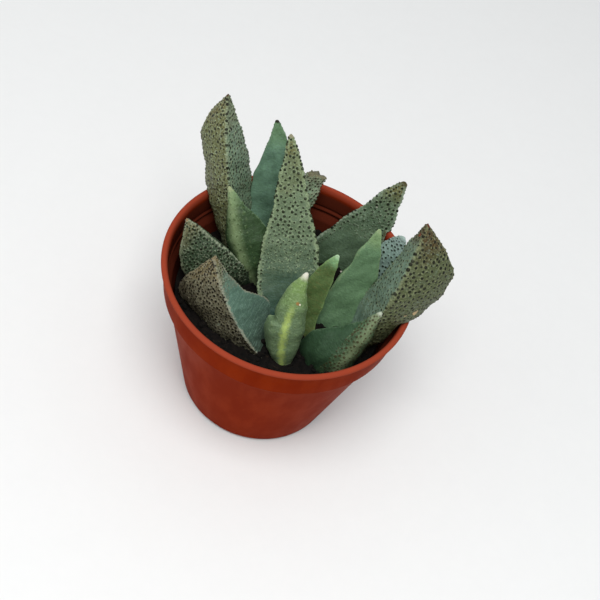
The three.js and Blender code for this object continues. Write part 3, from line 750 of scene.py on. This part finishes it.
def buildLeaf(name, cadNode, slotName, leaf):
    leaf = {**shared, **kindLooks[slotName], **leaf}
    cell, seed = leaf["cell"], leaf["seed"]
    length = np.linalg.norm(np.array(leaf["tip"]) - np.array(leaf["base"])) * 1.02
    t = np.linspace(0.02, 1, int(length / cell))
    right, left, k = (reachLine(leaf[key], t)[:, None] for key in ("right", "left", "keel"))
    if "notch" in leaf:
        # a shoulder in the margin
        height, width, depth = leaf["notch"]
        cutIn = ramp(height - 0.02, height, t) * np.exp(-np.maximum(0, t - height) / width)
        right = right - depth * cutIn[:, None]
    widest = (right + left).max() / 2
    nFace = 2 * math.ceil(widest / cell)
    nBack = math.ceil(math.hypot(widest, k.max()) / cell)
    centre, normal, side = leafAxis(leaf, t)
    dome = (right + left) / 2 * mix(leaf["hollowAtBase"], leaf["domeAtTip"], ramp(0.2, 0.8, t))[:, None]

    # every cross-section runs over the two sides of the keel and then over the face
    j = np.arange(2 * nBack)
    sign = np.where(j < nBack, 1.0, -1.0)
    q = np.where(j < nBack, j / nBack, 2 - j / nBack)
    w = np.where(sign > 0, right, left)
    slant = np.hypot(w, k)
    bulge = 4 * leaf["bulge"] * q * (1 - q)
    a = -1 + 2 * np.arange(nFace) / nFace
    wFace = np.where(a < 0, left, right)
    across = np.hstack([sign * (w * (1 - q) + bulge * k), a * wFace])
    out = np.hstack([-k * q - bulge * w, dome * (1 - a * a)])
    edgeGap = np.hstack([q * slant, (1 - np.abs(a)) * wFace])
    keelGap = np.hstack([(1 - q) * slant, np.full((len(t), nFace), 9.0)])
    innerField = np.hstack([np.zeros((len(t), 2 * nBack)), np.ones((len(t), nFace))])
    reach = max(1, round(leaf["rounding"] / cell))
    across, out = softened(across, reach), softened(out, reach)
    innerField = softened(innerField, max(1, reach // 2))

    # the form, with slow waves in its skin and the torn top of a dry leaf
    points = centre[:, None] + across[..., None] * side[:, None] + out[..., None] * normal[:, None]
    normals = outward(points)
    waves = sum(size * np.sin(points @ np.array(way) + turn * seed) for size, way, turn in ripples)
    points = points + normals * (leaf["waves"] * waves * ramp(0.0, 0.5, 1 - t[:, None] ** 4))[..., None]
    if "ragged" in leaf:
        tears = np.sin(4.1 * across + seed) + np.sin(2.3 * across + 3.7 * out + 1) + np.sin(7.7 * across - 2.9 * out)
        points = points + np.array([0, 0, 1]) * (leaf["ragged"] * tears * ramp(0.86, 1.0, t)[:, None])[..., None]
    grid = np.broadcast_to(t[:, None], across.shape)
    points, wart, net, tone = growWarts(leaf, points, normals, grid, innerField, edgeGap, keelGap)
    points = keepInPot(points)

    rows, columns = across.shape
    index = np.arange(rows * columns).reshape(rows, columns)
    following = np.roll(index, -1, axis=1)
    quads = np.stack([index[:-1], following[:-1], following[1:], index[1:]], axis=-1).reshape(-1, 4)
    closing = np.stack([index[-1], following[-1], np.full(columns, rows * columns)], axis=-1)
    tipWay = centre[-1] - centre[-2]
    tipPoint = centre[-1] + tipWay / np.linalg.norm(tipWay) * leaf["tipReach"]
    if "ragged" in leaf:
        tipPoint = points[-1].mean(axis=0)
    piece = newPiece(name, np.vstack([points.reshape(-1, 3), tipPoint]), quads.tolist() + closing.tolist())

    # what the skin has to know of every point
    fields = {
        "along": grid, "inner": innerField, "edgeGap": edgeGap, "keelGap": keelGap,
        "wart": wart, "net": net, "tone": tone,
    }
    for fieldName, values in fields.items():
        setField(piece, fieldName, np.append(values.ravel(), values[-1].mean()))
    girth = np.linspace(0, 1, columns, endpoint=False) * 2 * (slant.max() + widest)
    around = np.broadcast_to(girth, grid.shape)
    skinPlace = np.stack([around, grid * length, np.full(grid.shape, float(seed))], axis=-1)
    setField(piece, "skin", np.vstack([skinPlace.reshape(-1, 3), skinPlace[-1, 0]]))

    # flat foot where the leaf stands on its crown
    form = bmesh.new()
    form.from_mesh(piece.data)
    cut = bmesh.ops.bisect_plane(
        form, geom=form.verts[:] + form.edges[:] + form.faces[:],
        plane_co=(0, 0, leaf["foot"] * millimetre), plane_no=(0, 0, 1), clear_inner=True)
    rimEdges = [e for e in cut["geom_cut"] if isinstance(e, bmesh.types.BMEdge)]
    bmesh.ops.edgeloop_fill(form, edges=rimEdges)
    bmesh.ops.recalc_face_normals(form, faces=form.faces[:])
    form.to_mesh(piece.data)
    form.free()
    piece.data.shade_smooth()
    place(piece, leafMaterial(name + "Skin", leaf), slotName, cadNode)


# Each leaf: where it stands and leans, its reach to both margins and the depth of its keel at the stations,
# the fineness of its net, its tubercles, and then the colours and strengths of its skin
print("tall leaf at the left")
tallLeft = {
    "base": (-10.5, 8, 25.5), "tip": (-23.8, 18.9, 66), "faces": -10, "bow": -1.6,
    "right": [3, 4.6, 5.4, 5.8, 4.6, 2.8, 1.6, 0.4],
    "left": [3, 4.4, 5, 5.5, 5.8, 4.6, 2.8, 0.4],
    "keel": [3.4, 5.4, 7.5, 8.8, 8.3, 8.2, 5.8, 0.4],
    "cell": 0.18, "seed": 3,
    "warts": {"face": 0.3, "back": 0.08, "spacing": 0.8, "radius": 0.25, "height": 0.15},
    "Face": (112, 136, 112), "Back": (93, 96, 57), "Base": (90, 113, 90), "Tip": (95, 83, 43),
    "Point": (84, 60, 38), "Edge": (150, 166, 132), "Keel": (136, 142, 108), "Dot": (26, 28, 10),
    "Net": (146, 152, 122), "Streak": (144, 166, 146),
    "Tip From": 0.84, "Point From": 0.992, "Keel Width": 1.2, "Keel Strength": 0.4, "Fleck Strength": 0.45,
}
buildLeaf("tallLeafLeft", "leaf_tall_left", "leaf_warty", tallLeft)

print("smooth leaf behind it")
backSmooth = {
    "base": (-6, 10, 25.5), "tip": (-12.6, 18.4, 64), "faces": -100, "bow": 2,
    "right": [4.4, 5.4, 5.8, 5.6, 5, 3.7, 2.5, 0.5],
    "left": [4, 5, 5.6, 5.7, 4.7, 2.6, 1.4, 0.4],
    "keel": [3.6, 4.4, 4.8, 4.6, 3.8, 2.6, 1.5, 0.4],
    "bulge": 0.14, "cell": 0.3, "seed": 5,
    "warts": {"face": 0.86, "back": 0.7, "spacing": 1.3, "radius": 0.24, "height": 0.08},
    "Face": (108, 142, 117), "Back": (98, 130, 108), "Base": (92, 124, 105), "Tip": (108, 142, 100),
    "Point": (40, 40, 28), "Edge": (130, 158, 128), "Dot": (66, 92, 72), "Net": (124, 156, 134),
    "Streak": (124, 156, 140),
    "Tip From": 0.75, "Point From": 0.985, "Edge Width": 0.5, "Edge Strength": 0.5, "Dot Strength": 0.4,
    "Fleck Strength": 0.18, "Streak Strength": 0.35,
}
buildLeaf("smoothLeafBack", "leaf_back_smooth", "leaf_smooth", backSmooth)

print("young leaf at the left")
youngLeft = {
    "base": (-2.5, 6.8, 25.5), "tip": (-17.8, 8.3, 51.2), "faces": 82, "bow": 0.6,
    "right": [5, 6, 6.1, 5.6, 4.4, 2.6, 1.4, 0.4],
    "left": [5, 7.2, 8, 7.4, 5.8, 3.1, 1.6, 0.4],
    "keel": [4, 5.2, 5.8, 5.8, 5, 3.2, 1.9, 0.4],
    "bulge": 0.16, "cell": 0.24, "seed": 7,
    "warts": {"face": 0.9, "back": 0.25, "spacing": 1.25, "radius": 0.24, "height": 0.08, "nearKeel": 3.2},
    # the dark Base colour is painted shade near the soil
    "Face": (62, 87, 56), "Back": (45, 66, 37), "Base": (24, 36, 24), "Tip": (112, 136, 96),
    "Point": (150, 160, 120), "Edge": (128, 156, 120), "Keel": (128, 147, 104), "Dot": (62, 82, 44),
    "Net": (140, 164, 118), "Streak": (98, 128, 92),
    "Base Reach": 0.45, "Tip From": 0.85, "Edge Width": 0.5, "Edge Strength": 0.5, "Keel Width": 2.4,
    "Keel Strength": 0.8, "Dot Strength": 0.7, "Fleck Strength": 0.2, "Streak Strength": 0.25,
}
buildLeaf("youngLeafLeft", "leaf_young_left", "leaf_smooth", youngLeft)

print("tall leaf in the middle")
tallCentre = {
    "base": (2.6, -11.8, 25.5), "tip": (-8.8, 15.8, 64), "faces": -85, "bow": 1.2,
    "right": [3, 5.2, 8.2, 7.8, 5.9, 3.8, 2.4, 0.4],
    "left": [1.4, 3.6, 5, 4.7, 3.1, 2.1, 1.3, 0.4],
    "keel": [3.4, 4.8, 5.4, 5.2, 4.4, 3, 1.8, 0.4],
    "cell": 0.19, "seed": 13,
    "warts": {
        "face": 0.4, "back": 0.25, "spacing": 0.88, "radius": 0.26, "height": 0.15, "nearEdge": 0.9, "fade": 0.2,
    },
    "Face": (95, 111, 83), "Back": (100, 118, 86), "Base": (14, 60, 54), "Tip": (91, 83, 34),
    "Point": (140, 136, 110), "Edge": (146, 162, 122), "Dot": (30, 38, 18), "Net": (140, 158, 124),
    "Streak": (86, 112, 100),
    "Base Reach": 0.72, "Tip From": 0.7, "Point From": 0.985, "Edge Width": 1.2, "Edge Strength": 0.6,
    "Fleck Strength": 0.22, "Streak Strength": 0.5,
}
buildLeaf("tallLeafCentre", "leaf_tall_centre", "leaf_warty", tallCentre)

print("old leaf at the back")
backCentre = {
    "base": (-3, 13, 25.5), "tip": (-1.4, 22.4, 48.4), "faces": -66, "bow": 0.6,
    "right": [1.6, 1.6, 1.7, 1.9, 2.1, 2.3, 2.5, 2.6],
    "left": [1.6, 1.6, 1.7, 1.9, 2.1, 2.3, 2.5, 2.6],
    "keel": [1.6, 1.8, 2, 2.2, 2.4, 2.6, 2.7, 2.4],
    "cell": 0.16, "seed": 17, "waves": 0.14, "ragged": 0.22,
    "warts": {
        "face": 0.25, "back": 0.1, "spacing": 0.78, "radius": 0.22, "height": 0.2, "atEdge": 1.0, "paleAtEdge": 0.2,
    },
    "Face": (133, 162, 130), "Back": (104, 100, 76), "Base": (92, 96, 72), "Tip": (148, 163, 133),
    "Point": (120, 116, 92), "Edge": (140, 142, 116), "Keel": (134, 128, 98), "Dot": (48, 44, 28),
    "Net": (150, 148, 124), "Streak": (140, 138, 112),
    "Tip From": 0.85, "Point From": 0.994, "Edge Width": 0.5, "Edge Strength": 0.3, "Keel Width": 1.0,
    "Keel Strength": 0.4, "Net Strength": 0.4, "Fleck Strength": 0.6, "Mottle": 0.9,
}
buildLeaf("oldLeafBack", "leaf_back_centre", "leaf_warty", backCentre)

print("leaf at the back right")
backRight = {
    "base": (8.5, 10, 25.5), "tip": (17.3, 23.7, 54), "faces": -95, "bow": 1.5,
    "right": [4, 5, 5.2, 5, 4.2, 2.7, 1.7, 0.5],
    "left": [8.4, 9.2, 8.4, 6.8, 5, 3.3, 2.4, 0.6],
    "keel": [4, 4.8, 5.2, 5.2, 4.6, 3.2, 2, 0.5],
    "cell": 0.19, "seed": 19,
    "marks": [((13.4, 21.2, 46.7), 0.3, (186, 190, 170))],
    "warts": {
        "face": 0.5, "back": 0.2, "spacing": 0.94, "radius": 0.26, "height": 0.16,
        "nearEdge": 2.0, "fade": 0.3, "paleAtEdge": 0.75,
    },
    # the dark Base colour is painted shade near the soil
    "Face": (86, 107, 82), "Back": (94, 98, 66), "Base": (33, 53, 27), "Tip": (109, 103, 59),
    "Point": (82, 76, 46), "Edge": (156, 174, 152), "Dot": (20, 28, 12), "Net": (112, 124, 94),
    "Streak": (98, 120, 100),
    "Base Reach": 0.45, "Tip From": 0.75, "Edge Width": 0.8, "Edge Strength": 0.7, "Fleck Strength": 0.3,
}
buildLeaf("leafBackRight", "leaf_back_right", "leaf_warty", backRight)

print("small leaf at the right")
smallRight = {
    "base": (14, 5, 25.5), "tip": (20.6, 13.6, 48), "faces": -120, "bow": 1.5,
    "right": [2.8, 3.4, 3.7, 3.9, 3.9, 3.4, 2.5, 0.8],
    "left": [2.8, 3.4, 3.7, 3.9, 3.9, 3.4, 2.6, 0.8],
    "keel": [2.8, 3.4, 3.7, 3.8, 3.6, 2.8, 2, 0.8],
    "cell": 0.18, "seed": 23,
    "warts": {"face": 0.25, "back": 0.3, "spacing": 0.85, "radius": 0.24, "height": 0.14},
    "Face": (134, 160, 148), "Back": (113, 137, 130), "Base": (76, 94, 80), "Tip": (154, 176, 168),
    "Point": (160, 180, 172), "Edge": (158, 180, 172), "Dot": (30, 40, 28), "Net": (140, 160, 150),
    "Streak": (140, 164, 156),
    "Base Reach": 0.4, "Edge Width": 0.8, "Edge Strength": 0.5, "Fleck Strength": 0.2,
}
buildLeaf("smallLeafRight", "leaf_small_right", "leaf_warty", smallRight)

print("large leaf over the rim")
largeRight = {
    "base": (14.5, -6.5, 25.5), "tip": (23.3, 4.7, 63.5), "faces": 195, "bow": -0.2, "sway": 1.2,
    "right": [3, 4, 5, 6, 5.8, 4, 2.2, 0.4],
    "left": [4.4, 5.6, 6, 5.2, 3.7, 3, 2, 0.4],
    "keel": [3, 6.4, 9, 10.8, 12, 11.6, 7.4, 0.4],
    "cell": 0.19, "seed": 29,
    "marks": [
        ((27.5, -3.2, 45.6), 0.8, (196, 168, 124)), ((25.7, -5.0, 45.8), 0.4, (172, 148, 108)),
        ((22.7, 3.7, 61.0), 0.6, (124, 62, 34)),
    ],
    "warts": {"face": 0.35, "back": 0.1, "spacing": 0.88, "radius": 0.28, "height": 0.17, "smallOnFace": 0.75},
    "Face": (107, 130, 112), "Back": (73, 81, 49), "Base": (80, 94, 66), "Tip": (65, 42, 4),
    "Point": (96, 50, 30), "Edge": (140, 150, 108), "Keel": (114, 117, 73), "Dot": (20, 22, 6),
    "Net": (122, 126, 94), "Streak": (148, 172, 158),
    "Point From": 0.992, "Keel Width": 1.2, "Keel Strength": 0.3, "Fleck Strength": 0.25,
    "Streak Strength": 0.5,
}
buildLeaf("largeLeafRight", "leaf_large_right", "leaf_warty", largeRight)

print("smooth leaf in front of it")
frontRight = {
    "base": (10.6, -6.6, 25.5), "tip": (15, 7.9, 54), "faces": -90, "bow": 0.8,
    "right": [4.6, 4.8, 5, 5.6, 5, 3.5, 2.1, 0.4],
    "left": [4.4, 4.2, 4.2, 3.3, 2.4, 1.7, 1.1, 0.4],
    "keel": [3.5, 4, 4.2, 4, 3.5, 2.4, 1.4, 0.4],
    "bulge": 0.16, "cell": 0.26, "seed": 31,
    "warts": {"face": 2, "back": 0.8, "spacing": 1.5, "radius": 0.3, "height": 0.05},
    "Face": (92, 122, 88), "Back": (90, 120, 84), "Base": (80, 110, 80), "Tip": (124, 152, 106),
    "Point": (150, 170, 124), "Edge": (134, 160, 116), "Dot": (74, 104, 72), "Net": (104, 136, 98),
    "Streak": (108, 140, 104),
    "Base Reach": 0.5, "Tip From": 0.86, "Edge Width": 0.6, "Edge Strength": 0.6, "Dot Strength": 0.4,
    "Fleck Strength": 0.25,
}
buildLeaf("smoothLeafRight", "leaf_front_right", "leaf_smooth", frontRight)

print("short leaf at the front right")
shortRight = {
    "base": (13.4, -8.8, 25.5), "tip": (20.6, -7.3, 47), "faces": 90, "bow": 1,
    "right": [7, 8.6, 8.6, 6.8, 4.3, 2.1, 1.2, 0.4],
    "left": [3, 3.4, 3.4, 3, 2.4, 1.7, 1.1, 0.4],
    "keel": [4.8, 5.6, 6, 5.2, 4, 2.6, 1.5, 0.4],
    "bulge": 0.18, "cell": 0.22, "seed": 37,
    "warts": {"face": 2, "back": 0.2, "spacing": 0.78, "radius": 0.22, "height": 0.1, "nearKeel": 2.8},
    "Face": (60, 88, 61), "Back": (48, 73, 49), "Base": (42, 66, 44), "Tip": (142, 154, 124),
    "Point": (172, 180, 160), "Edge": (112, 138, 106), "Keel": (112, 126, 92), "Dot": (58, 48, 26),
    "Net": (130, 146, 104), "Streak": (76, 104, 78),
    "Base Reach": 0.4, "Tip From": 0.82, "Edge Width": 0.6, "Keel Width": 1.8, "Keel Strength": 0.85,
    "Net Strength": 0.1, "Dot Strength": 0.85, "Fleck Strength": 0.2, "Streak Strength": 0.25,
}
buildLeaf("shortLeafRight", "leaf_short_right", "leaf_smooth", shortRight)

print("front pair of young leaves")
youngInner = {
    "base": (6.2, -10, 25.5), "tip": (8.5, 0.9, 50), "faces": -100, "bow": 0.8, "sway": -1.4,
    "right": [3.6, 3.6, 3.4, 3.1, 2.7, 2.2, 1.4, 0.4],
    "left": [2, 2.5, 2.8, 2.9, 2.7, 2.2, 1.4, 0.4],
    "keel": [2, 2.3, 2.5, 2.5, 2.2, 1.7, 1, 0.4],
    "bulge": 0.2, "cell": 0.22, "seed": 41,
    "warts": {"face": 2, "back": 0.5, "spacing": 1.4, "radius": 0.25, "height": 0.04},
    "Face": (79, 101, 56), "Back": (96, 122, 76), "Base": (82, 98, 56), "Tip": (134, 178, 128),
    "Point": (170, 200, 160), "Edge": (134, 164, 100), "Dot": (92, 118, 72), "Net": (120, 148, 100),
    "Streak": (112, 100, 58),
    "Base Reach": 0.5, "Edge Width": 0.5, "Edge Strength": 0.5, "Dot Strength": 0.3, "Fleck Strength": 0.25,
    "Streak Strength": 0.4,
}
buildLeaf("youngLeafInner", "leaf_young_inner", "leaf_smooth", youngInner)
youngFront = {
    "base": (7, -14.4, 25.5), "tip": (3.6, -6.3, 50), "faces": 90, "bow": 1, "sway": 2,
    "right": [1, 2.7, 4.6, 4.8, 3.7, 2.6, 1.5, 0.4],
    "left": [0.5, 1.6, 3.2, 3.8, 3.3, 2.3, 1.3, 0.4],
    "keel": [3, 3.6, 3.8, 3.7, 3, 2.1, 1.2, 0.4],
    "bulge": 0.24, "cell": 0.2, "seed": 43, "notch": (0.575, 0.07, 1.3),
    "marks": [((3.8, -10.9, 45.3), 0.45, (150, 108, 58)), ((4.3, -10.9, 45.2), 0.22, (236, 226, 204))],
    "warts": {"face": 2, "back": 0.3, "spacing": 1.5, "radius": 0.25, "height": 0.04},
    "Face": (104, 132, 80), "Back": (92, 113, 81), "Base": (120, 128, 74), "Tip": (112, 139, 77),
    "Point": (214, 212, 194), "Edge": (150, 172, 130), "Keel": (176, 198, 104), "Dot": (70, 92, 50),
    "Net": (150, 172, 120), "Streak": (146, 168, 130),
    "Base Reach": 0.22, "Tip From": 0.6, "Point From": 0.93, "Edge Strength": 0.6, "Keel Width": 1.0,
    "Keel Strength": 0.75, "Keel Until": 0.84, "Dot Strength": 0.25, "Fleck Strength": 0.2,
    "Streak Strength": 0.5,
}
buildLeaf("youngLeafFront", "leaf_young_front", "leaf_smooth", youngFront)

print("low leaves at the left")
sideLeft = {
    "base": (-7.6, 8, 25.5), "tip": (-23.9, 0.4, 46.2), "faces": 50, "bow": -0.6,
    "right": [4, 4, 3.6, 3.2, 2.6, 1.8, 1.1, 0.4],
    "left": [6, 7, 7.2, 6.4, 4.4, 2.2, 1.2, 0.4],
    "keel": [4, 6.4, 8.6, 10, 10, 8, 5, 0.4],
    "cell": 0.18, "seed": 47,
    "warts": {"face": 0.4, "back": 0.25, "spacing": 0.78, "radius": 0.24, "height": 0.15, "paleAtEdge": 0.7},
    # the dark Base colour is painted shade near the soil
    "Face": (63, 84, 65), "Back": (46, 63, 43), "Base": (14, 38, 20), "Tip": (118, 108, 76),
    "Point": (140, 120, 86), "Edge": (168, 176, 150), "Keel": (146, 154, 124), "Dot": (26, 32, 16),
    "Net": (108, 122, 94), "Streak": (84, 108, 86),
    "Base Reach": 0.65, "Tip From": 0.84, "Point From": 0.992, "Edge Width": 0.5, "Edge Strength": 0.75,
    "Keel Width": 1.2, "Keel Strength": 0.6, "Fleck Strength": 0.3,
}
buildLeaf("lowLeafLeft", "leaf_side_left", "leaf_warty", sideLeft)
frontLeft = {
    "base": (7, -12.6, 25.5), "tip": (-15.3, -8.5, 48), "faces": -9, "bow": 1,
    "right": [5.4, 8, 7.8, 6.3, 2.7, 1.2, 0.8, 0.4],
    "left": [2, 4, 5, 4.9, 4.2, 3, 1.8, 0.4],
    "keel": [7, 10.8, 13, 14.3, 14.8, 13.9, 8, 0.4],
    "cell": 0.18, "seed": 53,
    "warts": {
        "face": 0.78, "back": 0.15, "spacing": 0.65, "radius": 0.23, "height": 0.17,
        "paleAtEdge": 0.75, "smallOnFace": 0.7,
    },
    # the dark Base colour is painted shade near the soil
    "Face": (90, 119, 103), "Back": (100, 96, 74), "Base": (40, 40, 30), "Tip": (122, 104, 58),
    "Point": (132, 118, 90), "Edge": (172, 172, 150), "Keel": (152, 148, 122), "Dot": (20, 18, 8),
    "Net": (124, 120, 98), "Streak": (136, 166, 150),
    "Base Reach": 0.75, "Point From": 0.992, "Edge Width": 0.55, "Edge Strength": 0.6, "Keel Width": 1.1,
    "Keel Strength": 0.5, "Net Strength": 0.35, "Fleck Strength": 0.3, "Streak Strength": 0.5,
}
buildLeaf("chinLeafLeft", "leaf_front_left", "leaf_warty", frontLeft)

print("floor, light and camera")
studio = {
    "floorColour": srgb(236, 236, 234), "floorReach": 2000,
    "world": (0.93, 0.96, 1.0), "worldStrength": 0.5,
    # each light has its power in watts, then its size and its place in metres
    "lights": {"keyLight": (2.5, 0.3, (0.0, -0.2, 0.56)), "fillLight": (0.5, 0.5, (-0.55, -0.25, 0.3))},
    "aim": (0, 0, 0.03),
}
reach = studio["floorReach"]
corners = [(-reach, -reach, 0), (reach, -reach, 0), (reach, reach, 0), (-reach, reach, 0)]
floor = newPiece("floor", corners, [(0, 1, 2, 3)])
floorPaint, tree, shader = newMaterial("palePaper", 0.9, 0.2)
grainyColour(tree, shader, studio["floorColour"], addGrain(tree, 0.4, 0.012))
floor.data.materials.append(floorPaint)

world = bpy.data.worlds.new("softSky")
scene.world = world
world.use_nodes = True
sky = {"Color": (*studio["world"], 1.0), "Strength": studio["worldStrength"]}
feed(world.node_tree, world.node_tree.nodes["Background"], sky)
for name, (power, size, spot) in studio["lights"].items():
    light = bpy.data.lights.new(name, "AREA")
    light.energy = power
    light.size = size
    lamp = bpy.data.objects.new(name, light)
    lamp.location = spot
    lamp.rotation_euler = (Vector(studio["aim"]) - Vector(spot)).to_track_quat("-Z", "Y").to_euler()
    scene.collection.objects.link(lamp)

# The photograph looks down at about 51 degrees, with the picture turned by 19 degrees
view = {
    "elevation": 50.96, "roll": 18.96, "place": (3.99, -164.75, 236.45),
    "lens": 72, "sensor": 36, "nearest": 5,
}
elevation, roll = math.radians(view["elevation"]), math.radians(view["roll"])
back = Vector((0, -math.cos(elevation), math.sin(elevation)))
level = Vector((1, 0, 0))
upright = back.cross(level)
right = math.cos(roll) * level + math.sin(roll) * upright
up = -math.sin(roll) * level + math.cos(roll) * upright
cameraData = bpy.data.cameras.new("camera")
cameraData.lens = view["lens"]
cameraData.sensor_width = view["sensor"]
cameraData.clip_start = view["nearest"] * millimetre
camera = bpy.data.objects.new("camera", cameraData)
cameraPlace = Matrix.Translation(Vector(view["place"]) * millimetre)
camera.matrix_world = cameraPlace @ Matrix((right, up, back)).transposed().to_4x4()
scene.collection.objects.link(camera)
scene.camera = camera
scene.view_settings.view_transform = "Standard"

print("done")
